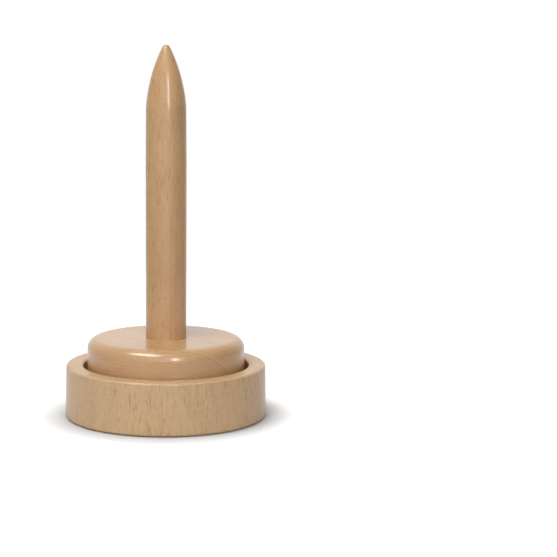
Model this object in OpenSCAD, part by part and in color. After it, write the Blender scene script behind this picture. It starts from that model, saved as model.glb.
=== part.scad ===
// Yarn holder: a heavy turned base, a turntable let into it on a pressed-steel ball bearing,
// and a tall pointed spindle standing in the turntable.
// +Z is up, along the axis of rotation. The origin is on the surface that the pads stand on.

/* [Overall] */
// Height of the whole holder, from the surface that it stands on to the spindle's tip
holder_h = 232.6; // [190:0.1:310]

/* [Base] */
// Diameter of the base at its foot
base_foot_d = 126.4; // [120:0.1:150]
// Diameter of the base at its rim, a little less than at the foot
base_rim_d = 125.2; // [118:0.1:150]
// Height of the wood of the base
base_h = 32.6; // [28:0.1:50]
// Radius of the rounded edge round the foot of the base
base_foot_edge_r = 1.6; // [0.5:0.1:5]
// Radius of the rounded edges on both sides of the rim
rim_edge_r = 1.4; // [0.4:0.1:2]
// Depth of the recess that the bearing and the turntable sit in
recess_depth = 13; // [9.5:0.1:18]
// Gap all round between the turntable and the wall of the recess
turntable_gap = 2.6; // [1:0.1:5]

/* [Turntable] */
// Diameter of the turntable
turntable_d = 98.7; // [96:0.1:110]
// Thickness of the turntable
turntable_h = 21.8; // [16:0.1:30]
// Radius of the turntable's rounded top edge
turntable_edge_r = 6.8; // [2:0.1:10]
// Radius of the turntable's eased bottom edge
turntable_foot_edge_r = 1; // [0.3:0.1:2]
// Thickness of the wood left under the spindle's socket
socket_floor = 6.7; // [5:0.1:9]

/* [Spindle] */
// Diameter of the spindle's straight stretch
spindle_d = 25.4; // [18:0.1:30]
// Length of the rounded point, from its shoulder to the tip
point_len = 39.5; // [30:0.5:45]
// How much thinner the spindle is at the shoulder than along its straight stretch
shoulder_loss = 0.4; // [0.2:0.1:2]
// Length below the shoulder over which the spindle thins towards it
taper_len = 32; // [10:1:60]
// Radius of the point's swelling side
point_side_r = 96; // [90:1:400]
// Radius of the blunt tip
tip_r = 2.6; // [1.5:0.1:4]
// Width of the chamfer round the spindle's glued end
spindle_chamfer = 1; // [0.5:0.1:2]
// Room for glue round the spindle in its socket
glue_gap = 0.05; // [0.02:0.01:0.2]
// Width of the groove under the socket's mouth that takes up spare glue
glue_groove_w = 3; // [1:0.5:5]
// Depth of that groove
glue_groove_depth = 0.6; // [0.3:0.1:1.5]

/* [Bearing plates] */
// Side of the square bearing plates
plate_side = 70; // [68:1:72]
// Radius of the plates' corners
plate_corner_r = 10; // [8:1:14]
// Thickness of the sheet that the plates are pressed from
sheet_t = 1.2; // [0.9:0.1:1.3]
// Height of the bearing from mounting face to mounting face
bearing_h = 8; // [7.8:0.1:9]
// Clear height between the lands of the two plates, where the cage runs
land_gap = 2; // [1.6:0.1:2.2]
// Width of the flat land outside the groove
land_w = 2; // [1:0.1:3]
// Slope of the pressed step between a plate's flange and its land, in degrees
step_angle = 45; // [40:1:60]
// Diameter of the opening in the middle of the bearing
bearing_bore_d = 34.8; // [33:0.1:35.4]
// Inside radius of the bends in the lower plate's tube
bend_r = 0.4; // [0.3:0.1:0.8]
// Clearance round the curled lip that holds the plates together
lip_play = 0.3; // [0.2:0.05:0.4]
// Distance that the curled lip reaches out past its bend
lip_reach = 1.4; // [0.8:0.1:1.8]

/* [Balls and cage] */
// Diameter of the circle that the balls run on
track_d = 48; // [47:0.5:49]
// Diameter of the balls
ball_d = 4.8; // [4:0.1:4.9]
// Number of balls
ball_count = 20; // [12:1:24]
// Running clearance between a ball and each groove
ball_play = 0.05; // [0.03:0.01:0.08]
// Thickness of the cage that spaces the balls
cage_t = 0.8; // [0.5:0.1:1]
// Width of the cage's ring
cage_w = 6.6; // [6:0.1:7]
// Room round a ball in its pocket
pocket_play = 0.1; // [0.05:0.01:0.15]

/* [Screws] */
// Distance between neighbouring screw holes in a plate
hole_pitch = 59; // [57:0.5:60]
// Diameter of a plate screw's shank
plate_screw_d = 3.5; // [3:0.1:4]
// Length of a plate screw under its head
plate_screw_len = 12; // [8:1:14]
// Diameter of a plate screw's pan head
pan_d = 7; // [6:0.1:7.6]
// Height of a plate screw's pan head
pan_h = 2.2; // [1.6:0.1:2.4]
// Radius of the dome on top of a pan head
pan_dome_r = 5.2; // [4.8:0.1:8]
// Diameter of the spindle screw's shank
spindle_screw_d = 4.5; // [4:0.1:5.5]
// Length of the spindle screw with its head
spindle_screw_len = 45; // [30:1:60]
// Diameter of the spindle screw's countersunk head
sunk_d = 9; // [8:0.1:11]
// Room round a screw's shank in the wood
screw_play = 0.05; // [0.02:0.01:0.1]
// Room round a plate screw's shank in the plate
plate_hole_play = 0.45; // [0.2:0.05:0.6]
// Depth of a pilot hole past the screw's point
pilot_over = 0.5; // [0.2:0.1:2]
// Diameter of the hole in the base that the upper screws are driven through
access_d = 13; // [9:0.5:13]

/* [Pads] */
// Number of pads under the base
pad_count = 4; // [3:1:6]
// Diameter of a pad
pad_d = 12; // [8:0.5:16]
// Thickness of a pad
pad_h = 1.5; // [1.2:0.1:3]
// Depth that a pad is let into the underside of the base
pad_seat_depth = 1; // [0.5:0.1:1.1]
// Room round a pad in its seat
pad_seat_play = 0.2; // [0.1:0.05:0.4]
// Radius of the rounded edges round a pad
pad_edge_r = 0.4; // [0.2:0.1:0.5]
// Distance from the edge of the base to the pad's edge
pad_inset = 7; // [5:0.5:12]

/* [Hidden] */

beech = [0.80, 0.67, 0.51];
plate_steel = [0.72, 0.73, 0.74];
ball_steel = [0.86, 0.87, 0.89];
cage_brass = [0.80, 0.68, 0.38];
screw_steel = [0.78, 0.75, 0.66];
rubber = [0.18, 0.18, 0.18];

// Facets round the wooden pieces, the long arc of the point, and the small pieces
turned_fn = 120;
point_fn = 720;
small_fn = 36;
// How far a cutting shape runs past the face that it opens
cut_past = 1;

// Heights of the faces that the pieces meet at
base_z = pad_h - pad_seat_depth;
rim_z = base_z + base_h;
floor_z = rim_z - recess_depth;
turntable_z = floor_z + bearing_h;
turntable_top_z = turntable_z + turntable_h;
socket_z = turntable_z + socket_floor;
tip_z = holder_h;

recess_r = turntable_d / 2 + turntable_gap;
spindle_r = spindle_d / 2;
socket_r = spindle_r + glue_gap;
shoulder_r = (spindle_d - shoulder_loss) / 2;
shoulder_z = tip_z - point_len;

// The point's side is one arc from the shoulder that runs without a break into the round tip.
// Its centre is at point_side_r from the shoulder and at point_side_r - tip_r from the tip's centre.
tip_centre_z = tip_z - tip_r;
chord = norm([shoulder_r, tip_centre_z - shoulder_z]);
centre_along = (pow(point_side_r, 2) - pow(point_side_r - tip_r, 2) + pow(chord, 2)) / (2 * chord);
centre_off = sqrt(pow(point_side_r, 2) - pow(centre_along, 2));
chord_dir = [-shoulder_r, tip_centre_z - shoulder_z] / chord;
side_centre = [shoulder_r, shoulder_z] + centre_along * chord_dir
    + centre_off * [-chord_dir[1], chord_dir[0]];
// Height at which the side's arc meets the tip's
meet_z = tip_centre_z + (tip_centre_z - side_centre[1]) * tip_r / (point_side_r - tip_r);

// The bearing in section, measured up from the face that the lower plate lies on
mid_h = bearing_h / 2;
land_top = mid_h - land_gap / 2;
land_under = land_top - sheet_t;
track_r = track_d / 2;
// The groove is rounder than a ball by this ratio, so that a ball touches it at its foot only
groove_ratio = 1.1;
groove_r = ball_d / 2 * groove_ratio;
groove_h = mid_h - ball_d / 2 - ball_play + groove_r;
land_end_r = track_r + groove_r + land_w;
step_end_r = land_end_r + land_under / tan(step_angle);
// A bend in the sheet shifts its under side inwards by this much
bend_shift = sheet_t * tan(step_angle / 2);
tube_in_r = bearing_bore_d / 2;
tube_out_r = tube_in_r + sheet_t;
land_start_r = tube_out_r + bend_r;
lip_h = bearing_h - land_under + lip_play;

// The countersunk head's cone, and the cross recesses: how far across a head they reach,
// how wide their arms are, and how deep they go in each kind of head
sunk_h = (sunk_d - spindle_screw_d) / 2;
cross_share = 0.5;
cross_w_share = 0.13;
pan_cross_share = 0.5;
sunk_cross_share = 0.8;
screw_tip_len = 3;
screw_tip_r = 0.3;
plate_hole_r = plate_screw_d / 2 + plate_hole_play;
plate_pilot_r = plate_screw_d / 2 + screw_play;
spindle_pilot_r = spindle_screw_d / 2 + screw_play;
plate_grip = plate_screw_len - sheet_t;
access_r = hole_pitch / sqrt(2);

// Sections and flat outlines

// A turned disc between the heights z0 and z1, whose side may lean, with two rounded outer edges
module disc_section(foot_r, top_r, z0, z1, foot_edge_r, top_edge_r) {
    lean = atan2(foot_r - top_r, z1 - z0);
    out = [cos(lean), sin(lean)];
    // Centre of a circle that touches the side from inside, at the height z
    function touching(z, r) = [foot_r - (r + (z - z0) * out[1]) / out[0], z];
    foot_c = touching(z0 + foot_edge_r, foot_edge_r);
    top_c = touching(z1 - top_edge_r, top_edge_r);
    polygon([[0, z0], [foot_c[0], z0], foot_c + foot_edge_r * out,
             top_c + top_edge_r * out, [top_c[0], z1], [0, z1]]);
    translate(foot_c) circle(foot_edge_r, $fn = turned_fn);
    translate(top_c) circle(top_edge_r, $fn = turned_fn);
}

// The recess with the rounded inner edge of the rim
module recess_section() {
    translate([0, floor_z]) square([recess_r, recess_depth + cut_past]);
    difference() {
        translate([0, rim_z - rim_edge_r]) square([recess_r + rim_edge_r, rim_edge_r + cut_past]);
        translate([recess_r + rim_edge_r, rim_z - rim_edge_r]) circle(rim_edge_r, $fn = turned_fn);
    }
}

module point_section() {
    intersection() {
        translate(side_centre) circle(point_side_r, $fn = point_fn);
        translate([0, shoulder_z]) square([spindle_r, meet_z - shoulder_z]);
    }
    intersection() {
        translate([0, tip_centre_z]) circle(tip_r, $fn = turned_fn);
        translate([0, tip_centre_z - tip_r]) square([tip_r, 2 * tip_r]);
    }
}

module spindle_section() {
    groove_end_r = spindle_r - glue_groove_depth;
    difference() {
        polygon([[0, socket_z], [spindle_r - spindle_chamfer, socket_z],
                 [spindle_r, socket_z + spindle_chamfer], [spindle_r, shoulder_z - taper_len],
                 [shoulder_r, shoulder_z], [0, shoulder_z]]);
        translate([groove_end_r, turntable_top_z - glue_groove_w])
            square([glue_groove_depth + cut_past, glue_groove_w]);
    }
    point_section();
}

module rounded_square(side, corner_r) {
    square([side, side - 2 * corner_r], center = true);
    square([side - 2 * corner_r, side], center = true);
    for (x = [-1, 1], y = [-1, 1]) {
        translate([x, y] * (side / 2 - corner_r)) circle(corner_r, $fn = turned_fn);
    }
}

// A quarter of a bent sheet round a centre, in the quarter that dir points to
module bend_section(centre, dir) {
    outer_r = bend_r + sheet_t;
    translate(centre) intersection() {
        difference() {
            circle(outer_r, $fn = small_fn);
            circle(bend_r, $fn = small_fn);
        }
        translate([min(dir[0], 0), min(dir[1], 0)] * outer_r) square(outer_r);
    }
}

// The pressed ring of a plate that lies flange down: slope, land and ball groove
module race_section() {
    difference() {
        union() {
            polygon([[land_start_r, land_under], [land_end_r - bend_shift, land_under],
                     [step_end_r - bend_shift, 0], [step_end_r, 0], [step_end_r, sheet_t],
                     [land_end_r, land_top], [land_start_r, land_top]]);
            intersection() {
                translate([track_r, groove_h]) circle(groove_r + sheet_t, $fn = turned_fn);
                translate([track_r - groove_r - sheet_t, 0]) square([2 * (groove_r + sheet_t), land_top]);
            }
        }
        translate([track_r, groove_h]) circle(groove_r, $fn = turned_fn);
    }
}

// The lower plate's tube, which is curled out over the inner edge of the upper plate
module tube_section() {
    bend_section([land_start_r, land_top + bend_r], [-1, -1]);
    translate([tube_in_r, land_top + bend_r]) square([sheet_t, lip_h - land_top - 2 * bend_r]);
    bend_section([land_start_r, lip_h - bend_r], [-1, 1]);
    translate([land_start_r, lip_h]) square([lip_reach, sheet_t]);
}

// Repeated shapes

// Puts its child at the four screw holes of a plate
module at_holes() {
    for (x = [-1, 1], y = [-1, 1]) {
        translate([x, y, 0] * hole_pitch / 2) children();
    }
}

// Puts its child at the centre of each pad, in the plane that the holder stands on
module at_pads() {
    pad_circle_r = base_foot_d / 2 - pad_inset - pad_d / 2;
    for (i = [0 : pad_count - 1]) {
        rotate((i + 0.5) * 360 / pad_count) translate([pad_circle_r, 0, 0]) children();
    }
}

module plate_flange() {
    linear_extrude(sheet_t) difference() {
        rounded_square(plate_side, plate_corner_r);
        circle(step_end_r, $fn = turned_fn);
        for (x = [-1, 1], y = [-1, 1]) {
            translate([x, y] * hole_pitch / 2) circle(plate_hole_r, $fn = small_fn);
        }
    }
}

// A cross-shaped driver recess, cut down from the height z into a head of the given size
module cross_recess(head_d, depth, z) {
    for (turn = [0, 90]) {
        rotate(turn) translate([0, 0, z - depth / 2 + cut_past / 2])
            cube([head_d * cross_share, head_d * cross_w_share, depth + cut_past], center = true);
    }
}

// A screw shank that runs down from z = 0 and ends in a point
module shank_section(r, len) {
    polygon([[0, 0], [r, 0], [r, screw_tip_len - len], [screw_tip_r, -len], [0, -len]]);
}

// A pan-head screw, point down, with the under side of its head at z = 0
module pan_screw() {
    difference() {
        rotate_extrude($fn = small_fn) {
            shank_section(plate_screw_d / 2, plate_screw_len);
            intersection() {
                square([pan_d / 2, pan_h]);
                translate([0, pan_h - pan_dome_r]) circle(pan_dome_r, $fn = turned_fn);
            }
        }
        cross_recess(pan_d, pan_h * pan_cross_share, pan_h);
    }
}

// Pieces

module base() {
    color(beech) difference() {
        rotate_extrude($fn = turned_fn) difference() {
            disc_section(base_foot_d / 2, base_rim_d / 2, base_z, rim_z, base_foot_edge_r, rim_edge_r);
            recess_section();
        }
        at_holes() translate([0, 0, floor_z - plate_grip - pilot_over])
            cylinder(r = plate_pilot_r, h = plate_grip + pilot_over + cut_past, $fn = small_fn);
        translate([access_r, 0, base_z - cut_past])
            cylinder(d = access_d, h = base_h + cut_past, $fn = small_fn);
        at_pads() translate([0, 0, base_z - cut_past])
            cylinder(r = pad_d / 2 + pad_seat_play, h = pad_seat_depth + cut_past, $fn = turned_fn);
    }
}

module turntable() {
    color(beech) difference() {
        rotate_extrude($fn = turned_fn) disc_section(turntable_d / 2, turntable_d / 2, turntable_z,
            turntable_top_z, turntable_foot_edge_r, turntable_edge_r);
        translate([0, 0, socket_z])
            cylinder(r = socket_r, h = turntable_top_z - socket_z + cut_past, $fn = turned_fn);
        translate([0, 0, turntable_z - cut_past])
            cylinder(r = spindle_pilot_r, h = socket_floor + 2 * cut_past, $fn = small_fn);
        translate([0, 0, turntable_z - cut_past])
            cylinder(r1 = sunk_d / 2 + screw_play + cut_past, r2 = spindle_pilot_r,
                     h = sunk_h + cut_past, $fn = small_fn);
        at_holes() translate([0, 0, turntable_z - cut_past])
            cylinder(r = plate_pilot_r, h = plate_grip + pilot_over + cut_past, $fn = small_fn);
    }
}

module spindle() {
    pilot_h = spindle_screw_len - socket_floor + pilot_over;
    color(beech) difference() {
        rotate_extrude($fn = turned_fn) spindle_section();
        translate([0, 0, socket_z - cut_past])
            cylinder(r = spindle_pilot_r, h = pilot_h + cut_past, $fn = small_fn);
    }
}

// Countersunk from below, with its head flush in the turntable's under side
module spindle_screw() {
    r = spindle_screw_d / 2;
    color(screw_steel) difference() {
        translate([0, 0, turntable_z]) rotate_extrude($fn = small_fn)
            polygon([[0, 0], [sunk_d / 2, 0], [r, sunk_h], [r, spindle_screw_len - screw_tip_len],
                     [screw_tip_r, spindle_screw_len], [0, spindle_screw_len]]);
        translate([0, 0, turntable_z]) mirror([0, 0, 1])
            cross_recess(sunk_d, sunk_h * sunk_cross_share, 0);
    }
}

module lower_bearing_plate() {
    color(plate_steel) translate([0, 0, floor_z]) {
        plate_flange();
        rotate_extrude($fn = turned_fn) {
            race_section();
            tube_section();
        }
    }
}

module upper_bearing_plate() {
    color(plate_steel) translate([0, 0, turntable_z]) mirror([0, 0, 1]) {
        plate_flange();
        rotate_extrude($fn = turned_fn) race_section();
    }
}

module ball_cage() {
    color(cage_brass) translate([0, 0, floor_z + mid_h - cage_t / 2]) linear_extrude(cage_t) difference() {
        circle(track_r + cage_w / 2, $fn = turned_fn);
        circle(track_r - cage_w / 2, $fn = turned_fn);
        for (i = [0 : ball_count - 1]) {
            rotate(i * 360 / ball_count) translate([track_r, 0])
                circle(ball_d / 2 + pocket_play, $fn = small_fn);
        }
    }
}

module balls() {
    color(ball_steel) for (i = [0 : ball_count - 1]) {
        rotate(i * 360 / ball_count) translate([track_r, 0, floor_z + mid_h])
            sphere(d = ball_d, $fn = small_fn);
    }
}

module lower_plate_screws() {
    color(screw_steel) at_holes() translate([0, 0, floor_z + sheet_t]) pan_screw();
}

module upper_plate_screws() {
    color(screw_steel) at_holes() translate([0, 0, turntable_z - sheet_t]) mirror([0, 0, 1]) pan_screw();
}

module pads() {
    color(rubber) at_pads() rotate_extrude($fn = small_fn)
        disc_section(pad_d / 2, pad_d / 2, 0, pad_h, pad_edge_r, pad_edge_r);
}

base();
turntable();
spindle();
spindle_screw();
lower_bearing_plate();
upper_bearing_plate();
ball_cage();
balls();
lower_plate_screws();
upper_plate_screws();
pads();
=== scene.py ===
"""Looks of the yarn holder: lacquered beech turned on a zinc-plated ball bearing. Metres, +Z up."""
import math

import bmesh
import bpy
from mathutils import Euler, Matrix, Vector


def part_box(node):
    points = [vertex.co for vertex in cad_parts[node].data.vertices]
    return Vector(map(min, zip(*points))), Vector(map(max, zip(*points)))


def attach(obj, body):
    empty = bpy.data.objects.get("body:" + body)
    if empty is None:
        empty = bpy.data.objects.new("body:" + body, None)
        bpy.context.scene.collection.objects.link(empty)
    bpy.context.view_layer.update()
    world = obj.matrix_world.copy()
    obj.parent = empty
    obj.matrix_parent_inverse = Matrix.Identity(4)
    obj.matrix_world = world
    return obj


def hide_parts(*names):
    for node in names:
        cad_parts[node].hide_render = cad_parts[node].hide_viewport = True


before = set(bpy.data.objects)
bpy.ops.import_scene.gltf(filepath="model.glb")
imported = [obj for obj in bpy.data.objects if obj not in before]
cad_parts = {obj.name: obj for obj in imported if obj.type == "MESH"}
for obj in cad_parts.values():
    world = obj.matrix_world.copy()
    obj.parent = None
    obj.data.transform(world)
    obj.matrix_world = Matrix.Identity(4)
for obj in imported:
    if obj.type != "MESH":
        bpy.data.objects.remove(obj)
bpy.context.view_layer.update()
scene = bpy.context.scene
MM = 0.001

# Camera, as the photograph was taken: a long lens a little above the holder, turned to its right
CAMERA_DISTANCE = 1.1522
CAMERA_HEIGHT = 0.2643
CAMERA_PITCH = math.radians(8.7225)
CAMERA_YAW = math.radians(-3.5031)
CAMERA_ROLL = math.radians(0.5365)
LENS_MM = 120.035
SENSOR_MM = 36

# Light of the room on the holder, and what the white floor adds where the camera or gloss sees it
ROOM_LIGHT = 0.25
FRONT_GLOW = 2.2

# Finishes: satin lacquer on wood, brushed plate and moulded rubber
WOOD_ROUGHNESS = 0.5
WOOD_SHEEN = 0.14
WOOD_SPECULAR = 0.08
LACQUER_IOR = 1.45
FLECK_COVER = 0.84
PATCH_COVER = 0.34
SPOT_COVER = 0.06
WOOD_BUMP = 0.1
WOOD_RELIEF = 0.1 * MM
METAL_BUMP = 0.15
METAL_RELIEF = 0.03 * MM
RUBBER_BUMP = 0.4
RUBBER_RELIEF = 0.1 * MM
ZINC_CELLS = 420.0
PATTERN_WANDER = 12 * MM
FLOOR_WHITE = 0.55
FLOOR_LIFT = 0.66
FLOOR_DROP = 0.05 * MM
# How far from the holder the floor's painted contact shade reaches
PAINTED_SHADE_REACH = 38 * MM
LIGHT_AIM = (0, 0, 80 * MM)
FLOOR_RADIUS = 0.6

# The spindle's outline, as the CAD source turns it
SPINDLE_R = 12.7 * MM
SHOULDER_R = 12.5 * MM
POINT_LEN = 39.5 * MM
TAPER_LEN = 32 * MM
POINT_SIDE_R = 96 * MM
TIP_R = 2.6 * MM
CHAMFER = 1 * MM

# Screws, balls and pads
SCREW_PITCH = 1.4 * MM
SCREW_THREAD = 0.42 * MM
SCREW_POINT = 3 * MM
SCREW_BLUNT = 0.13
THREAD_STEEPNESS = 3.2
THREAD_SHARE = 0.4
MERGE_REACH = 0.0001 * MM
PLATE_SCREW_R = 1.75 * MM
PLATE_SCREW_LEN = 12 * MM
PAN_R = 3.5 * MM
PAN_H = 2.2 * MM
PAN_DOME_R = 5.2 * MM
PAN_CROSS_SHARE = 0.5
SPINDLE_SCREW_R = 2.25 * MM
SUNK_R = 4.5 * MM
SUNK_CROSS_SHARE = 0.8
SUNK_THREAD_TOP = -9 * MM
PAN_THREAD_TOP = -1 * MM
CROSS_SHARE = 0.5
CROSS_W_SHARE = 0.13
BALL_R = 2.4 * MM
BALL_COUNT = 20
PAD_R = 6 * MM
PAD_EDGE_R = 0.4 * MM
PAD_COUNT = 4
SCREW_COUNT = 4
CORNER_ANGLE = math.radians(45)

# Fineness of the meshes: steps round the axis, thread rows, and the angle where edges stay sharp
SPINDLE_STEPS = 160
SCREW_STEPS = 40
ROWS_A_PITCH = 10
BALL_STEPS = 32
PAD_STEPS = 64
FLOOR_STEPS = 96
SHARP_ANGLE = math.radians(32)

# Places, from the CAD pieces
spindle_lo, spindle_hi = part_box("spindle")
balls_lo, balls_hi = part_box("balls")
lower_screws_lo, lower_screws_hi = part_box("lower_plate_screws")
upper_screws_lo, upper_screws_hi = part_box("upper_plate_screws")
spindle_screw_lo, spindle_screw_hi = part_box("spindle_screw")
pads_lo, pads_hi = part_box("pads")


# Node helpers

def add(tree, kind, inputs=None, **values):
    """A new node in a tree, with its properties set and the given inputs linked or set."""
    node = tree.nodes.new(kind)
    for name, value in values.items():
        setattr(node, name, value)
    for key, value in (inputs or {}).items():
        socket = node.inputs[key]
        if isinstance(value, bpy.types.NodeSocket):
            tree.links.new(value, socket)
        else:
            socket.default_value = value
    return node


def maths(tree, operation, *values, clamp=False):
    """One arithmetic step, and its result."""
    node = add(tree, "ShaderNodeMath", dict(enumerate(values)), operation=operation, use_clamp=clamp)
    return node.outputs[0]


def vector_maths(tree, operation, a, b=(0, 0, 0), output="Vector"):
    return add(tree, "ShaderNodeVectorMath", {0: a, 1: b}, operation=operation).outputs[output]


def combine(tree, x=0.0, y=0.0, z=0.0):
    return add(tree, "ShaderNodeCombineXYZ", {0: x, 1: y, 2: z}).outputs[0]


def ramp(tree, factor, low, high, to_low=0.0, to_high=1.0):
    """A smooth change from to_low to to_high while factor goes from low to high."""
    node = add(tree, "ShaderNodeMapRange", {"Value": factor, "From Min": low, "From Max": high,
               "To Min": to_low, "To Max": to_high}, interpolation_type="SMOOTHSTEP")
    return node.outputs["Result"]


def mix_colour(tree, factor, a, b, blend="MIX"):
    node = add(tree, "ShaderNodeMix", {0: factor, 6: a, 7: b}, data_type="RGBA", blend_type=blend)
    return node.outputs[2]


def group(name, sockets_in, sockets_out, kind="ShaderNodeTree"):
    """An empty node group with named sockets. Returns the tree, its inputs and its outputs."""
    tree = bpy.data.node_groups.new(name, kind)
    for label, socket_kind, value in sockets_in:
        socket = tree.interface.new_socket(label, in_out="INPUT", socket_type=socket_kind)
        if value is not None:
            socket.default_value = value
    for label, socket_kind in sockets_out:
        tree.interface.new_socket(label, in_out="OUTPUT", socket_type=socket_kind)
    return tree, tree.nodes.new("NodeGroupInput").outputs, tree.nodes.new("NodeGroupOutput").inputs


def use_group(tree, shared, **inputs):
    """A shared group placed in a material. Returns its outputs."""
    named = {label.replace("_", " "): value for label, value in inputs.items()}
    return add(tree, "ShaderNodeGroup", named, node_tree=shared).outputs


def srgb(r, g, b):
    """A colour seen as r, g, b of 255, as the linear value that a shader takes."""
    def linear(c):
        c /= 255
        return c / 12.92 if c <= 0.04045 else ((c + 0.055) / 1.055) ** 2.4
    return (linear(r), linear(g), linear(b), 1)


def new_material(name, roughness, metallic=0.0, coat=0.0, coat_roughness=0.1, specular=0.5):
    """A material whose constants are set on the sockets of its Principled shader."""
    made = bpy.data.materials.new(name)
    made.use_nodes = True
    shader = made.node_tree.nodes["Principled BSDF"]
    shader.inputs["Roughness"].default_value = roughness
    shader.inputs["Metallic"].default_value = metallic
    shader.inputs["Coat Weight"].default_value = coat
    shader.inputs["Coat Roughness"].default_value = coat_roughness
    shader.inputs["Specular IOR Level"].default_value = specular
    return made, made.node_tree, shader


def bumped(made, height, strength, relief):
    """Gives a material its bump from a height, with relief as the height's full depth."""
    tree = made.node_tree
    bump = add(tree, "ShaderNodeBump", {"Strength": strength, "Distance": relief, "Height": height})
    tree.links.new(bump.outputs[0], tree.nodes["Principled BSDF"].inputs["Normal"])
    return made


def noise(tree, vector, scale, detail=3.0, roughness=0.5):
    node = add(tree, "ShaderNodeTexNoise", {"Vector": vector, "Scale": scale, "Detail": detail,
               "Roughness": roughness})
    return node.outputs["Fac"]


def stretched_noise(tree, vector, scales, detail=3.0, roughness=0.5):
    """Noise whose grains are finer along the axes with the larger scales, in grains a metre."""
    return noise(tree, vector_maths(tree, "MULTIPLY", vector, scales), 1.0, detail, roughness)


def line_noise(tree, along, scale, detail=1.0):
    """Noise along one line."""
    node = add(tree, "ShaderNodeTexNoise", {"W": along, "Scale": scale, "Detail": detail},
               noise_dimensions="1D")
    return node.outputs["Fac"]


def weighted(tree, terms, clamp=False):
    """The sum of (value, weight) pairs, each value first centred on its middle where one is given."""
    total = 0.0
    for value, weight, middle in terms:
        if middle:
            value = maths(tree, "SUBTRACT", value, middle)
        total = maths(tree, "ADD", maths(tree, "MULTIPLY", value, weight), total, clamp=clamp)
    return total


# Effects shared by the materials

def make_beech_figure():
    """Figure of solid beech. The grain runs along the vector's Z, and the pith is at its X = Y = 0."""
    tree, i, o = group("Beech figure", (
        ("Vector", "NodeSocketVector", None),
        ("Ring spacing", "NodeSocketFloat", 0.003),
        ("Ring depth", "NodeSocketFloat", 0.3),
        ("Fleck depth", "NodeSocketFloat", 0.5),
        ("Fibre depth", "NodeSocketFloat", 0.5),
        ("Cloud depth", "NodeSocketFloat", 0.5),
        ("Extra flecks", "NodeSocketFloat", 0.0),
        ("Pale", "NodeSocketColor", srgb(196, 157, 117)),
        ("Deep", "NodeSocketColor", srgb(166, 125, 84)),
        ("Fleck", "NodeSocketColor", srgb(140, 92, 54)),
    ), (("Color", "NodeSocketColor"), ("Height", "NodeSocketFloat")))
    place = i["Vector"]
    # The log swells and bends slowly along its length, which makes its rings wander
    drift = add(tree, "ShaderNodeTexNoise", {"Vector": vector_maths(tree, "MULTIPLY", place, (1, 1, 0.3)),
                "Scale": 16.0, "Detail": 2.0, "Roughness": 0.45}).outputs["Color"]
    drift = vector_maths(tree, "SUBTRACT", drift, (0.5, 0.5, 0.5))
    bend = vector_maths(tree, "MULTIPLY", drift, (PATTERN_WANDER, PATTERN_WANDER, PATTERN_WANDER))
    bent = vector_maths(tree, "ADD", place, bend)
    split = add(tree, "ShaderNodeSeparateXYZ", {0: bent}).outputs
    flat = vector_maths(tree, "MULTIPLY", bent, (1, 1, 0))
    radius = vector_maths(tree, "LENGTH", flat, output="Value")
    # Rings of uneven width, each with a narrow darker line where its growth ended
    count = maths(tree, "ADD", maths(tree, "DIVIDE", radius, i["Ring spacing"]),
                  maths(tree, "MULTIPLY", line_noise(tree, radius, 150.0), 1.5))
    part = maths(tree, "FRACT", count)
    late = maths(tree, "MULTIPLY", ramp(tree, part, 0.3, 0.88), ramp(tree, part, 0.9, 1.0, 1.0, 0.0))
    shade = add(tree, "ShaderNodeTexWhiteNoise", {"W": maths(tree, "FLOOR", count)}, noise_dimensions="1D")
    shade = shade.outputs["Value"]
    # Rays are thin ribbons standing on the pith, set out by radius, way round and height
    turn = maths(tree, "ARCTAN2", split[1], split[0])
    around = maths(tree, "MULTIPLY", turn, maths(tree, "MAXIMUM", radius, 0.02))
    rays = combine(tree, radius, around, split[2])
    patch = stretched_noise(tree, rays, (60, 45, 50), 1.0)
    cover = weighted(tree, ((patch, -PATCH_COVER, 0), (i["Extra flecks"], -SPOT_COVER, 0)))
    cover = maths(tree, "ADD", cover, FLECK_COVER)
    broad = stretched_noise(tree, rays, (260, 900, 105), 1.0, 0.4)
    broad = ramp(tree, maths(tree, "SUBTRACT", broad, cover), 0.0, 0.06)
    small = ramp(tree, stretched_noise(tree, rays, (300, 2100, 420), 1.0, 0.4), 0.62, 0.74)
    flecks = weighted(tree, ((broad, 1.0, 0), (small, 0.42, 0)), clamp=True)
    # Fine fibres, a finer mesh and broad clouds
    fibre = stretched_noise(tree, bent, (1100, 1100, 60), 4.0, 0.6)
    mesh = stretched_noise(tree, bent, (520, 520, 260), 2.0)
    cloud = stretched_noise(tree, bent, (60, 60, 22), 2.0)
    patches = ramp(tree, noise(tree, bent, 20.0, 1.0), 0.4, 0.6, 0.15, 1.0)
    rings = maths(tree, "MULTIPLY", weighted(tree, ((late, 1.0, 0), (shade, 0.5, 0))), patches)
    depth = weighted(tree, ((rings, i["Ring depth"], 0), (fibre, i["Fibre depth"], 0.5),
                            (mesh, i["Fibre depth"], 0.5), (cloud, i["Cloud depth"], 0.2)))
    wood = mix_colour(tree, depth, i["Pale"], i["Deep"])
    marked = mix_colour(tree, maths(tree, "MULTIPLY", flecks, i["Fleck depth"]), wood, i["Fleck"])
    tree.links.new(marked, o["Color"])
    tree.links.new(weighted(tree, ((fibre, 1.0, 0), (flecks, -0.3, 0))), o["Height"])
    return tree


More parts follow.
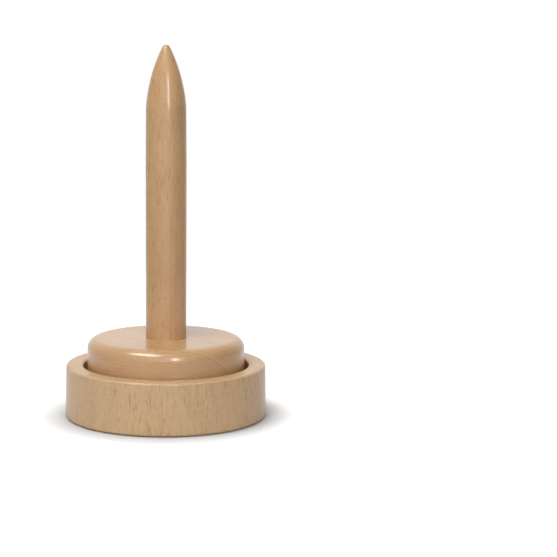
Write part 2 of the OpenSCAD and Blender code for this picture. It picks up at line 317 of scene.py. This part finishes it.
def make_lathe_lines():
    """Fine rings that a turning tool leaves round the axis at X = Y = 0, from about -0.5 to 0.5."""
    tree, i, o = group("Lathe lines", (
        ("Vector", "NodeSocketVector", None), ("Spacing", "NodeSocketFloat", 0.0012),
    ), (("Lines", "NodeSocketFloat"),))
    height = add(tree, "ShaderNodeSeparateXYZ", {0: i["Vector"]}).outputs[2]
    flat = vector_maths(tree, "MULTIPLY", i["Vector"], (1, 1, 0))
    radius = vector_maths(tree, "LENGTH", flat, output="Value")
    along = maths(tree, "DIVIDE", maths(tree, "ADD", height, radius), i["Spacing"])
    band = maths(tree, "SUBTRACT", line_noise(tree, along, 1.0), 0.5)
    # Round the piece the lines fade in and out
    patches = ramp(tree, noise(tree, i["Vector"], 30.0, 2.0), 0.3, 0.65, 0.35, 1.0)
    tree.links.new(maths(tree, "MULTIPLY", band, patches), o["Lines"])
    return tree


def make_fine_wear():
    """Handling marks: a broad uneven sheen and short hairline scratches, as factors."""
    tree, i, o = group("Fine wear", (
        ("Vector", "NodeSocketVector", None), ("Scale", "NodeSocketFloat", 60.0),
    ), (("Sheen", "NodeSocketFloat"), ("Scratches", "NodeSocketFloat")))
    turned = add(tree, "ShaderNodeMapping", {"Vector": i["Vector"], "Rotation": (0.7, 0.4, 1.1)}).outputs[0]
    tree.links.new(noise(tree, i["Vector"], i["Scale"], 4.0, 0.6), o["Sheen"])
    scratches = ramp(tree, stretched_noise(tree, turned, (2600, 90, 90), 2.0), 0.66, 0.74)
    tree.links.new(scratches, o["Scratches"])
    return tree


BEECH_FIGURE = make_beech_figure()
LATHE_LINES = make_lathe_lines()
FINE_WEAR = make_fine_wear()


# Materials

def beech(name, colours, coat, coat_roughness, grain, pith, ring_spacing, ring_depth, fleck_depth,
          fibre_depth, cloud_depth, lines_depth, lines_spacing, fleck_spot=(0, 0, 0), fleck_reach=0.0):
    """Beech under satin lacquer, its grain along grain and the log's pith through pith, in mm."""
    made, tree, shader = new_material(name, WOOD_ROUGHNESS, coat=coat, coat_roughness=coat_roughness,
                                      specular=WOOD_SPECULAR)
    shader.inputs["Coat IOR"].default_value = LACQUER_IOR
    place = add(tree, "ShaderNodeTexCoord").outputs["Object"]
    upright = Vector(grain).normalized().rotation_difference(Vector((0, 0, 1)))
    log = add(tree, "ShaderNodeMapping", {"Vector": place, "Rotation": upright.to_euler("XYZ"),
              "Location": -(upright @ (Vector(pith) * MM))}).outputs[0]
    # One spot of the piece has more ray flecks than the rest
    away = vector_maths(tree, "DISTANCE", place, Vector(fleck_spot) * MM, output="Value")
    extra = ramp(tree, away, fleck_reach / 3, fleck_reach, 1.0, 0.0) if fleck_reach else 0.0
    figure = use_group(tree, BEECH_FIGURE, Vector=log, Ring_spacing=ring_spacing, Ring_depth=ring_depth,
                       Fleck_depth=fleck_depth, Fibre_depth=fibre_depth, Cloud_depth=cloud_depth,
                       Extra_flecks=extra, Pale=colours[0], Deep=colours[1], Fleck=colours[2])
    lines = use_group(tree, LATHE_LINES, Vector=place, Spacing=lines_spacing)["Lines"]
    wear = use_group(tree, FINE_WEAR, Vector=place, Scale=55.0)
    grey = maths(tree, "MULTIPLY_ADD", lines, lines_depth, 1.0)
    grey = add(tree, "ShaderNodeCombineColor", {0: grey, 1: grey, 2: grey}).outputs[0]
    tree.links.new(mix_colour(tree, 1.0, figure["Color"], grey, "MULTIPLY"), shader.inputs["Base Color"])
    rough = maths(tree, "MULTIPLY_ADD", wear["Sheen"], WOOD_SHEEN, WOOD_ROUGHNESS - WOOD_SHEEN / 2)
    tree.links.new(rough, shader.inputs["Roughness"])
    height = weighted(tree, ((figure["Height"], 0.5, 0), (lines, 1.0, 0)))
    return bumped(made, height, WOOD_BUMP, WOOD_RELIEF)


def metal(name, colour, roughness, brushed, spangle=0.0):
    """Plated or polished steel: brushed is in grains a metre, and spangle is the zinc's crystals."""
    made, tree, shader = new_material(name, roughness, metallic=1.0)
    place = add(tree, "ShaderNodeTexCoord").outputs["Object"]
    wear = use_group(tree, FINE_WEAR, Vector=place, Scale=220.0)
    brushing = stretched_noise(tree, place, brushed)
    cells = add(tree, "ShaderNodeTexVoronoi", {"Vector": place, "Scale": ZINC_CELLS}).outputs["Distance"]
    dark = [c * 0.62 for c in colour[:3]] + [1]
    mask = weighted(tree, ((wear["Sheen"], 0.35, 0), (cells, spangle, 0)), clamp=True)
    tree.links.new(mix_colour(tree, mask, colour, dark), shader.inputs["Base Color"])
    rough = weighted(tree, ((brushing, 0.22, 0.5), (wear["Scratches"], 0.15, 0)))
    tree.links.new(maths(tree, "ADD", rough, roughness, clamp=True), shader.inputs["Roughness"])
    return bumped(made, brushing, METAL_BUMP, METAL_RELIEF)


def pad_rubber():
    made, tree, shader = new_material("pad rubber", 0.8, specular=0.3)
    place = add(tree, "ShaderNodeTexCoord").outputs["Object"]
    grain = noise(tree, place, 1500.0)
    dust = ramp(tree, noise(tree, place, 160.0, 4.0), 0.45, 0.8)
    colour = mix_colour(tree, dust, srgb(40, 39, 38), srgb(66, 64, 61))
    tree.links.new(colour, shader.inputs["Base Color"])
    tree.links.new(maths(tree, "MULTIPLY_ADD", grain, 0.2, 0.68), shader.inputs["Roughness"])
    return bumped(made, grain, RUBBER_BUMP, RUBBER_RELIEF)


# Each beech's colours are its early wood, its late wood and its ray flecks
PALE_BEECH = (srgb(206, 173, 134), srgb(182, 145, 103), srgb(166, 112, 62))
WARM_BEECH = (srgb(201, 162, 119), srgb(172, 130, 86), srgb(146, 98, 56))
BASE_BEECH = beech("base beech", PALE_BEECH, coat=0.5, coat_roughness=0.2,
                   grain=(0.03, -0.04, 1), pith=(6, 30, 17), ring_spacing=2.4 * MM, ring_depth=0.2,
                   fleck_depth=0.52, fibre_depth=0.85, cloud_depth=0.35,
                   lines_depth=0.16, lines_spacing=0.9 * MM,
                   fleck_spot=(-12, -61, 14), fleck_reach=24 * MM)
TURNTABLE_BEECH = beech("turntable beech", WARM_BEECH, coat=0.85, coat_roughness=0.2,
                        grain=(0.766, -0.643, 0), pith=(-32, -38, -30), ring_spacing=2.2 * MM,
                        ring_depth=0.26, fleck_depth=0.25, fibre_depth=0.35, cloud_depth=0.4,
                        lines_depth=0.06, lines_spacing=1.2 * MM)
SPINDLE_BEECH = beech("spindle beech", WARM_BEECH, coat=0.6, coat_roughness=0.19,
                      grain=(0.01, 0, 1), pith=(35, 45, 0), ring_spacing=3 * MM, ring_depth=0.14,
                      fleck_depth=0.4, fibre_depth=0.6, cloud_depth=0.6,
                      lines_depth=0.05, lines_spacing=1.6 * MM)
ZINC_PLATE = metal("zinc-plated sheet", srgb(196, 200, 204), 0.36, (300, 300, 300), 0.6)
CAGE_SHEET = metal("cage sheet", srgb(180, 181, 183), 0.32, (700, 700, 700))
BALL_STEEL = metal("ball steel", srgb(214, 216, 220), 0.16, (500, 500, 500))
YELLOW_ZINC = metal("yellow zinc", srgb(212, 196, 150), 0.3, (200, 200, 2500))
PAD_RUBBER = pad_rubber()


# CAD pieces that show as they are, in their finish

def dress(node, material):
    """Gives a CAD node its finish."""
    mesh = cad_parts[node].data
    mesh.materials.clear()
    mesh.materials.append(material)


dress("base", BASE_BEECH)
dress("turntable", TURNTABLE_BEECH)
dress("lower_bearing_plate", ZINC_PLATE)
dress("upper_bearing_plate", ZINC_PLATE)
dress("ball_cage", CAGE_SHEET)


# Outlines of the turned pieces, from the axis at the bottom to the axis at the top, as (radius, height)

def arc(centre, radius, first, last, steps):
    """Points on a round stretch, from the angle first to the angle last, in degrees."""
    turns = [math.radians(first + (last - first) * k / steps) for k in range(steps + 1)]
    return [(centre[0] + radius * math.cos(t), centre[1] + radius * math.sin(t)) for t in turns]


def straight(start, end, steps):
    """Points on a straight stretch, without its two ends."""
    return [tuple(Vector(start).lerp(Vector(end), k / steps)) for k in range(1, steps)]


def spindle_outline():
    """Chamfered foot, straight stretch, slight taper, one long arc for the point, and a round tip."""
    foot = spindle_lo.z
    tip = spindle_hi.z
    shoulder = Vector((SHOULDER_R, tip - POINT_LEN))
    tip_centre = Vector((0, tip - TIP_R))
    chord = tip_centre - shoulder
    along = (POINT_SIDE_R ** 2 - (POINT_SIDE_R - TIP_R) ** 2 + chord.length_squared) / (2 * chord.length)
    off = math.sqrt(POINT_SIDE_R ** 2 - along ** 2)
    way = chord.normalized()
    side_centre = shoulder + way * along + Vector((-way.y, way.x)) * off
    start = math.degrees(math.asin((shoulder.y - side_centre.y) / POINT_SIDE_R))
    meet = math.degrees(math.atan2(tip_centre.y - side_centre.y, tip_centre.x - side_centre.x))
    chamfer_top = (SPINDLE_R, foot + CHAMFER)
    taper_start = (SPINDLE_R, shoulder.y - TAPER_LEN)
    points = [(0, foot), (SPINDLE_R - CHAMFER, foot), chamfer_top]
    points += straight(chamfer_top, taper_start, 40) + [taper_start]
    points += straight(taper_start, shoulder, 80)
    points += arc(side_centre, POINT_SIDE_R, start, meet, 90)
    points += arc(tip_centre, TIP_R, meet, 90, 16)[1:-1]
    return points + [(0, tip)]


def shank_outline(radius, length, start):
    """A pointed shank from its tip up to the height start, with rows close enough to cut a thread in."""
    rows = int(length / SCREW_PITCH * ROWS_A_PITCH)
    points = [(0, start - length)]
    for k in range(rows + 1):
        rise = length * k / rows
        share = min(1, SCREW_BLUNT + (1 - SCREW_BLUNT) * rise / SCREW_POINT)
        points.append((radius * share, start - length + rise))
    return points


def pan_screw_outline():
    """A pan-head screw, point down, with the under side of its head at height 0."""
    edge_height = PAN_H - PAN_DOME_R + math.sqrt(PAN_DOME_R ** 2 - PAN_R ** 2)
    first = math.degrees(math.acos(PAN_R / PAN_DOME_R))
    dome = arc((0, PAN_H - PAN_DOME_R), PAN_DOME_R, first, 90, 10)[1:-1]
    head = [(PAN_R, 0), (PAN_R, edge_height)] + dome + [(0, PAN_H)]
    return shank_outline(PLATE_SCREW_R, PLATE_SCREW_LEN, 0) + head


def sunk_screw_outline():
    """A countersunk screw, point down, with the flat of its head at height 0."""
    cone = SUNK_R - SPINDLE_SCREW_R
    length = spindle_screw_hi.z - spindle_screw_lo.z
    return shank_outline(SPINDLE_SCREW_R, length - cone, -cone) + [(SUNK_R, 0), (0, 0)]


def ball_outline():
    return [(0, -BALL_R)] + arc((0, 0), BALL_R, -90, 90, 24)[1:-1] + [(0, BALL_R)]


def pad_outline():
    height = pads_hi.z - pads_lo.z
    inner = PAD_R - PAD_EDGE_R
    low = arc((inner, PAD_EDGE_R), PAD_EDGE_R, -90, 0, 6)
    high = arc((inner, height - PAD_EDGE_R), PAD_EDGE_R, 0, 90, 6)
    return [(0, 0)] + low + high + [(0, height)]


# One Geometry Nodes tree turns an outline, cuts its thread and cross, and sets out the copies

def turn_outline(tree, i):
    """The outline swept round the axis, with the thread cut in."""
    rows = add(tree, "GeometryNodeAttributeDomainSize", {"Geometry": i["Outline"]}, component="MESH")
    rows = rows.outputs["Point Count"]
    columns = maths(tree, "ADD", i["Steps"], 1)
    grid = add(tree, "GeometryNodeMeshGrid", {"Vertices X": columns, "Vertices Y": rows}).outputs["Mesh"]
    # The grid's vertices run up each column first, so their number gives the row and the way round
    index = add(tree, "GeometryNodeInputIndex").outputs[0]
    row = maths(tree, "MODULO", index, rows)
    column = maths(tree, "FLOOR", maths(tree, "DIVIDE", maths(tree, "ADD", index, 0.5), rows))
    around = maths(tree, "DIVIDE", column, i["Steps"])
    position = add(tree, "GeometryNodeInputPosition").outputs[0]
    sample = add(tree, "GeometryNodeSampleIndex",
                 {"Geometry": i["Outline"], "Value": position, "Index": row},
                 data_type="FLOAT_VECTOR").outputs[0]
    wide, _, high = add(tree, "ShaderNodeSeparateXYZ", {0: sample}).outputs
    # The groove climbs one pitch a turn and fades out under the head and towards the point
    climb = maths(tree, "SUBTRACT", maths(tree, "DIVIDE", high, i["Thread pitch"]), around)
    off_middle = maths(tree, "ABSOLUTE", maths(tree, "SUBTRACT", maths(tree, "FRACT", climb), 0.5))
    groove = maths(tree, "SUBTRACT", 1.0, maths(tree, "MULTIPLY", off_middle, THREAD_STEEPNESS), clamp=True)
    below = maths(tree, "SUBTRACT", i["Thread top"], high)
    fade = maths(tree, "DIVIDE", below, i["Thread pitch"], clamp=True)
    deep = maths(tree, "MINIMUM", maths(tree, "MULTIPLY", wide, THREAD_SHARE), i["Thread depth"])
    cut = maths(tree, "MULTIPLY", maths(tree, "MULTIPLY", groove, deep), fade)
    radius = maths(tree, "SUBTRACT", wide, cut)
    turn = maths(tree, "MULTIPLY", around, 2 * math.pi)
    place = combine(tree, maths(tree, "MULTIPLY", radius, maths(tree, "COSINE", turn)),
                    maths(tree, "MULTIPLY", radius, maths(tree, "SINE", turn)), high)
    turned = add(tree, "GeometryNodeSetPosition", {"Geometry": grid, "Position": place}).outputs[0]
    return add(tree, "GeometryNodeMergeByDistance", {"Geometry": turned, "Distance": MERGE_REACH}).outputs[0]


def cut_cross(tree, i, solid):
    """Two crossed bars cut the driver's recess, where the cross has a depth."""
    size = combine(tree, i["Cross length"], i["Cross width"], maths(tree, "MULTIPLY", i["Cross depth"], 2.0))
    bar = add(tree, "GeometryNodeMeshCube", {"Size": size}).outputs["Mesh"]
    other = add(tree, "GeometryNodeTransform", {"Geometry": bar, "Rotation": (0, 0, math.pi / 2)}).outputs[0]
    both = add(tree, "GeometryNodeMeshBoolean", operation="UNION", solver="EXACT")
    tree.links.new(bar, both.inputs["Mesh 2"])
    tree.links.new(other, both.inputs["Mesh 2"])
    lifted = add(tree, "GeometryNodeTransform", {"Geometry": both.outputs[0],
                 "Translation": combine(tree, z=i["Head top"])}).outputs[0]
    cut = add(tree, "GeometryNodeMeshBoolean", {"Mesh 1": solid, "Mesh 2": lifted},
              operation="DIFFERENCE", solver="EXACT").outputs[0]
    crossed = add(tree, "FunctionNodeCompare", {0: i["Cross depth"], 1: 0.0}, data_type="FLOAT",
                  operation="GREATER_THAN").outputs[0]
    return add(tree, "GeometryNodeSwitch", {"Switch": crossed, "False": solid, "True": cut},
               input_type="GEOMETRY").outputs[0]


def set_out(tree, i, piece):
    """Copies on a circle round the axis, each turned to face out."""
    tipped = combine(tree, maths(tree, "MULTIPLY", i["Turned over"], math.pi))
    upright = add(tree, "GeometryNodeTransform", {"Geometry": piece, "Rotation": tipped}).outputs[0]
    seats = add(tree, "GeometryNodePoints", {"Count": i["Copies"]}).outputs[0]
    share = maths(tree, "DIVIDE", add(tree, "GeometryNodeInputIndex").outputs[0], i["Copies"])
    angle = maths(tree, "ADD", i["First angle"], maths(tree, "MULTIPLY", share, 2 * math.pi))
    spot = combine(tree, maths(tree, "MULTIPLY", i["Circle radius"], maths(tree, "COSINE", angle)),
                   maths(tree, "MULTIPLY", i["Circle radius"], maths(tree, "SINE", angle)), i["Height"])
    seats = add(tree, "GeometryNodeSetPosition", {"Geometry": seats, "Position": spot}).outputs[0]
    copies = add(tree, "GeometryNodeInstanceOnPoints", {"Points": seats, "Instance": upright,
                 "Rotation": combine(tree, z=angle)}).outputs[0]
    return add(tree, "GeometryNodeRealizeInstances", {"Geometry": copies}).outputs[0]


def make_turning_tree():
    tree, i, o = group("Turn and set out", (
        ("Outline", "NodeSocketGeometry", None),
        ("Steps", "NodeSocketInt", 48),
        ("Thread depth", "NodeSocketFloat", 0.0),
        ("Thread pitch", "NodeSocketFloat", SCREW_PITCH),
        ("Thread top", "NodeSocketFloat", 0.0),
        ("Cross length", "NodeSocketFloat", 0.0),
        ("Cross width", "NodeSocketFloat", 0.0),
        ("Cross depth", "NodeSocketFloat", 0.0),
        ("Head top", "NodeSocketFloat", 0.0),
        ("Copies", "NodeSocketInt", 1),
        ("Circle radius", "NodeSocketFloat", 0.0),
        ("First angle", "NodeSocketFloat", 0.0),
        ("Height", "NodeSocketFloat", 0.0),
        ("Turned over", "NodeSocketBool", False),
        ("Material", "NodeSocketMaterial", None),
    ), (("Piece", "NodeSocketGeometry"),), "GeometryNodeTree")
    tree.is_modifier = True
    piece = cut_cross(tree, i, turn_outline(tree, i))
    finished = add(tree, "GeometryNodeSetMaterial", {"Geometry": set_out(tree, i, piece),
                   "Material": i["Material"]}).outputs[0]
    tree.links.new(finished, o["Piece"])
    return tree


TURNING_TREE = make_turning_tree()


def turned_piece(name, outline, body, slot, replaced, **sizes):
    """Turns an outline into a plain mesh that stands for a CAD node and rides on its body."""
    start = bpy.data.meshes.new(name + "_outline")
    links = [(k, k + 1) for k in range(len(outline) - 1)]
    start.from_pydata([(radius, 0, height) for radius, height in outline], links, [])
    carrier = bpy.data.objects.new(name + "_outline", start)
    scene.collection.objects.link(carrier)
    modifier = carrier.modifiers.new("turn", "NODES")
    modifier.node_group = TURNING_TREE
    sockets = {item.name: item.identifier for item in TURNING_TREE.interface.items_tree
               if item.in_out == "INPUT"}
    for label, value in sizes.items():
        modifier[sockets[label.replace("_", " ")]] = value
    ready = carrier.evaluated_get(bpy.context.evaluated_depsgraph_get())
    mesh = bpy.data.meshes.new_from_object(ready)
    bpy.data.objects.remove(carrier)
    mesh.name = name
    shape = bmesh.new()
    shape.from_mesh(mesh)
    bmesh.ops.recalc_face_normals(shape, faces=shape.faces)
    shape.to_mesh(mesh)
    shape.free()
    mesh.shade_smooth()
    mesh.set_sharp_from_angle(angle=SHARP_ANGLE)
    piece = bpy.data.objects.new(name, mesh)
    scene.collection.objects.link(piece)
    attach(piece, body)
    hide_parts(replaced)
    return piece


turned_piece("turned_spindle", spindle_outline(), "turntable", "beech", "spindle",
             Steps=SPINDLE_STEPS, Material=SPINDLE_BEECH)

pan_screw_set = {
    "Steps": SCREW_STEPS, "Thread_depth": SCREW_THREAD, "Thread_top": PAN_THREAD_TOP,
    "Cross_length": 2 * PAN_R * CROSS_SHARE, "Cross_width": 2 * PAN_R * CROSS_W_SHARE,
    "Cross_depth": PAN_H * PAN_CROSS_SHARE, "Head_top": PAN_H, "Copies": SCREW_COUNT,
    "Circle_radius": math.hypot(lower_screws_hi.x - PAN_R, lower_screws_hi.y - PAN_R),
    "First_angle": CORNER_ANGLE, "Material": YELLOW_ZINC,
}
turned_piece("threaded_lower_plate_screws", pan_screw_outline(), "base", "screw_steel",
             "lower_plate_screws", Height=lower_screws_hi.z - PAN_H, **pan_screw_set)
turned_piece("threaded_upper_plate_screws", pan_screw_outline(), "turntable", "screw_steel",
             "upper_plate_screws", Height=upper_screws_lo.z + PAN_H, Turned_over=True, **pan_screw_set)
turned_piece("threaded_spindle_screw", sunk_screw_outline(), "turntable", "screw_steel", "spindle_screw",
             Steps=SCREW_STEPS, Thread_depth=SCREW_THREAD, Thread_top=SUNK_THREAD_TOP,
             Cross_length=2 * SUNK_R * CROSS_SHARE, Cross_width=2 * SUNK_R * CROSS_W_SHARE,
             Cross_depth=(SUNK_R - SPINDLE_SCREW_R) * SUNK_CROSS_SHARE, Height=spindle_screw_lo.z,
             Turned_over=True, Material=YELLOW_ZINC)
turned_piece("bearing_balls", ball_outline(), "ball_train", "ball_steel", "balls",
             Steps=BALL_STEPS, Copies=BALL_COUNT, Circle_radius=balls_hi.x - BALL_R,
             Height=(balls_lo.z + balls_hi.z) / 2, Material=BALL_STEEL)
turned_piece("rubber_pads", pad_outline(), "base", "rubber", "pads",
             Steps=PAD_STEPS, Copies=PAD_COUNT,
             Circle_radius=math.hypot(pads_hi.x - PAD_R, pads_hi.y - PAD_R),
             First_angle=CORNER_ANGLE, Height=pads_lo.z, Material=PAD_RUBBER)


# Camera

def place_camera():
    lens = bpy.data.cameras.new("camera")
    lens.lens = LENS_MM
    lens.sensor_width = SENSOR_MM
    camera = bpy.data.objects.new("camera", lens)
    turn = Euler((0, 0, CAMERA_YAW)).to_matrix()
    tilt = Euler((math.pi / 2 - CAMERA_PITCH, 0, 0)).to_matrix()
    roll = Euler((0, 0, CAMERA_ROLL)).to_matrix()
    camera.rotation_euler = (turn @ tilt @ roll).to_euler("XYZ")
    camera.location = (0, -CAMERA_DISTANCE, CAMERA_HEIGHT)
    scene.collection.objects.link(camera)
    scene.camera = camera


# Light and floor

def soft_box(name, azimuth, elevation, distance, width, height, radiance, mirrored):
    """A rectangular light seen from the holder. It lights surfaces or is mirrored in gloss."""
    data = bpy.data.lights.new(name, "AREA")
    data.shape = "RECTANGLE"
    data.size = width
    data.size_y = height
    data.energy = radiance * math.pi * width * height
    light = bpy.data.objects.new(name, data)
    a, e = math.radians(azimuth), math.radians(elevation)
    toward = Vector((math.sin(a) * math.cos(e), -math.cos(a) * math.cos(e), math.sin(e)))
    light.location = Vector(LIGHT_AIM) + toward * distance
    light.rotation_mode = "QUATERNION"
    light.rotation_quaternion = toward.to_track_quat("Z", "Y")
    light.visible_diffuse = not mirrored
    light.visible_glossy = mirrored
    scene.collection.objects.link(light)


def seen_directly(tree, mirrored=1.0):
    """1 for what the camera or a clear surface sees, mirrored for what gloss sees, and 0 otherwise."""
    path = add(tree, "ShaderNodeLightPath").outputs
    seen = maths(tree, "MAXIMUM", path["Is Camera Ray"], path["Is Transmission Ray"])
    return maths(tree, "MAXIMUM", seen, maths(tree, "MULTIPLY", path["Is Glossy Ray"], mirrored))


def white_room():
    """Plain light on the holder, and pure white where it is seen directly."""
    world = bpy.data.worlds.new("white room")
    scene.world = world
    world.use_nodes = True
    tree = world.node_tree
    tree.nodes.clear()
    # Gloss mirrors the white backdrop behind the holder, and a broad soft glow in front
    toward = add(tree, "ShaderNodeTexCoord").outputs["Generated"]
    depth = add(tree, "ShaderNodeSeparateXYZ", {0: toward}).outputs[1]
    behind = ramp(tree, depth, 0.1, 0.8)
    glow = ramp(tree, depth, -1.0, -0.55, FRONT_GLOW, 0.0)
    seen = seen_directly(tree, maths(tree, "ADD", behind, glow))
    strength = maths(tree, "MULTIPLY_ADD", seen, 1.0 - ROOM_LIGHT, ROOM_LIGHT)
    light = add(tree, "ShaderNodeBackground", {"Color": (1, 1, 1, 1), "Strength": strength})
    add(tree, "ShaderNodeOutputWorld", {"Surface": light.outputs[0]})


def white_floor():
    """A white floor that keeps the holder's real shadow from the lamps. It is lifted to full white where
    seen directly, except in a painted contact shade.
    """
    mesh = bpy.data.meshes.new("white_floor")
    shape = bmesh.new()
    bmesh.ops.create_circle(shape, cap_ends=True, segments=FLOOR_STEPS, radius=FLOOR_RADIUS)
    bmesh.ops.translate(shape, vec=(0, 0, -FLOOR_DROP), verts=shape.verts)
    shape.to_mesh(mesh)
    shape.free()
    floor = bpy.data.objects.new("white_floor", mesh)
    made, tree, shader = new_material("white floor", 0.9, specular=0.0)
    shader.inputs["Base Color"].default_value = (FLOOR_WHITE, FLOOR_WHITE, FLOOR_WHITE, 1)
    shader.inputs["Emission Color"].default_value = (1, 1, 1, 1)
    # Painted shade: near the holder's foot the lift fades with ambient occlusion. This paints a soft contact
    # shadow over the lamps' real shadow.
    openness = add(tree, "ShaderNodeAmbientOcclusion", {"Distance": PAINTED_SHADE_REACH}, samples=16).outputs["AO"]
    lift_with_painted_shade = maths(tree, "MULTIPLY", ramp(tree, openness, 0.5, 0.97, 0.1, 1.0), FLOOR_LIFT)
    lift_with_painted_shade = maths(tree, "MULTIPLY", lift_with_painted_shade, seen_directly(tree))
    tree.links.new(lift_with_painted_shade, shader.inputs["Emission Strength"])
    mesh.materials.append(made)
    scene.collection.objects.link(floor)


place_camera()
soft_box("front box", azimuth=1, elevation=28, distance=1.5, width=1.1, height=0.8, radiance=3.25,
         mirrored=False)
soft_box("top box", azimuth=-42, elevation=63, distance=1.3, width=0.85, height=0.27, radiance=13.5,
         mirrored=False)
soft_box("back box", azimuth=165, elevation=34, distance=1.5, width=1.1, height=0.8, radiance=2.0,
         mirrored=False)
soft_box("strip highlight", azimuth=14, elevation=21, distance=1.7, width=0.26, height=0.78,
         radiance=20.0, mirrored=True)
soft_box("top highlight", azimuth=-50, elevation=62, distance=1.3, width=0.74, height=0.46,
         radiance=17.5, mirrored=True)
white_room()
white_floor()
scene.view_settings.view_transform = "Standard"
